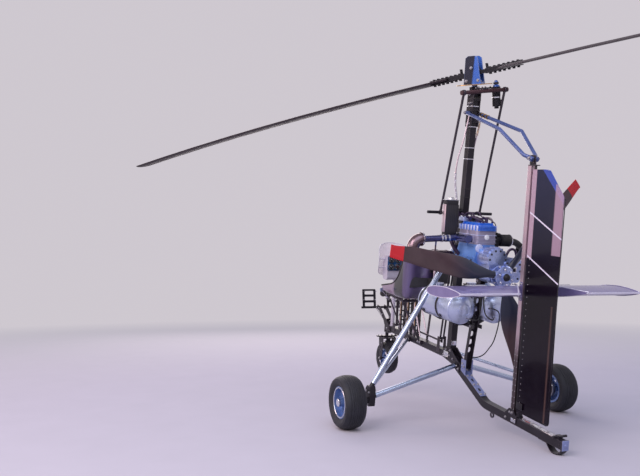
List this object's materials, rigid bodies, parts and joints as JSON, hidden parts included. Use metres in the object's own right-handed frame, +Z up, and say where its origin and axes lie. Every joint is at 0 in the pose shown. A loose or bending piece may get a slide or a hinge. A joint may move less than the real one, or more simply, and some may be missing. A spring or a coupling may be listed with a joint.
{
  "type": "single-seat open-frame gyrocopter",
  "caption": "Open-frame gyrocopter parked on its main wheels and tail skid, with a teetering two-blade rotor, pusher propeller, tall rudder and steered nose wheel.",
  "frame": {"origin": "on the ground, under the middle of the whole craft's box with the rotor parked as in the picture", "axes": "+Z up, +Y aft along the keel, +X to port; the craft stands tail down, with its keel about 7.7 degrees nose up"},
  "size_m": [4.0882, 6.2446, 2.6405],
  "materials": {
    "frame_dark": "satin",
    "frame_blue": "satin",
    "silver": "satin",
    "bright": "polished",
    "steel": "satin",
    "tyre": "matte",
    "rubber": "matte",
    "grey_paint": "satin",
    "engine_blue": "satin",
    "case_blue": "satin",
    "black": "satin",
    "gold": "satin",
    "blade_paint": "satin",
    "prop": "gloss",
    "skin_black": "gloss",
    "skin_grey": "satin",
    "pod": "gloss",
    "seat": "gloss",
    "pad": "matte",
    "screen": "clear"
  },
  "bodies": {
    "frame": {"keel": "frame_dark", "mast": "frame_dark", "mast_foot_plates": "frame_dark", "aft_post": "frame_dark", "drop_gusset": "frame_blue", "gear_struts": "silver", "strut_lugs": "frame_dark", "axle_knuckles": "steel", "steering_head": "frame_dark", "rudder_pedals": "black", "mast_cheeks": "silver", "rotor_gimbal": "black", "torque_bar": "frame_dark", "pre_rotator_motor": "black", "control_crossbar": "black", "control_rods": "frame_dark", "engine_bed": "frame_dark", "engine_mounts": "rubber", "engine_block": "case_blue", "cylinder_head": "engine_blue", "plug_caps": "black", "gearbox": "case_blue", "carburettors": "black", "exhaust_silencer": "steel", "radiator": "black", "fuel_tanks": "bright", "tank_cradle": "frame_dark", "tank_straps": "steel", "seat_shell": "seat", "seat_pads": "pad", "seat_frame": "frame_dark", "instrument_pod": "pod", "windscreen": "screen", "tail_braces": "frame_blue", "fin": "silver", "fin_fittings": "frame_dark", "stabiliser": "skin_grey", "tail_skid": "steel"},
    "left_main_wheel": {"main_tyre_left": "tyre", "main_rim_left": "grey_paint"},
    "right_main_wheel": {"main_tyre_right": "tyre", "main_rim_right": "grey_paint"},
    "steering_fork": {"nose_fork": "frame_dark", "nose_mudguard": "black"},
    "nose_wheel": {"nose_tyre": "tyre", "nose_rim": "grey_paint"},
    "rotor_hub": {"ring_gear": "gold", "rotor_towers": "black"},
    "rotor": {"rotor_hub_bar": "black", "blade_straps": "black", "rotor_blades": "blade_paint"},
    "propeller": {"propeller_hub": "black", "propeller_blades": "prop"},
    "rudder": {"rudder": "skin_black"}
  },
  "joints": [
    {"name": "left_wheel_spin", "type": "hinge", "parent": "frame", "child": "left_main_wheel", "pos_m": [0.90126, -0.28523, 0.185], "axis": [1, 0, 0], "continuous": true},
    {"name": "right_wheel_spin", "type": "hinge", "parent": "frame", "child": "right_main_wheel", "pos_m": [-0.88274, -0.28523, 0.185], "axis": [1, 0, 0], "continuous": true},
    {"name": "nose_steering", "type": "hinge", "parent": "frame", "child": "steering_fork", "pos_m": [0.00926, -1.44383, 0.60887], "axis": [0, 0.1379, 0.9904], "range_deg": [-30, 30]},
    {"name": "nose_wheel_spin", "type": "hinge", "parent": "steering_fork", "child": "nose_wheel", "pos_m": [0.00926, -1.45417, 0.33165], "axis": [1, 0, 0], "continuous": true},
    {"name": "rotor_spin", "type": "hinge", "parent": "frame", "child": "rotor_hub", "pos_m": [0.00926, -0.02349, 2.36877], "axis": [0.1564, 0.2126, 0.9645], "continuous": true},
    {"name": "rotor_teeter", "type": "hinge", "parent": "rotor_hub", "child": "rotor", "pos_m": [0.0382, 0.01583, 2.54721], "axis": [0.8021, 0.5425, -0.2497], "range_deg": [-17.45, 0.55]},
    {"name": "propeller_spin", "type": "hinge", "parent": "frame", "child": "propeller", "pos_m": [0.00926, 0.28081, 1.05221], "axis": [0, 0.9904, -0.1379], "continuous": true},
    {"name": "rudder_hinge", "type": "hinge", "parent": "frame", "child": "rudder", "pos_m": [0.00926, 0.52645, 0.89482], "axis": [0, 0.1379, 0.9904], "range_deg": [-25, 25]}
  ]
}
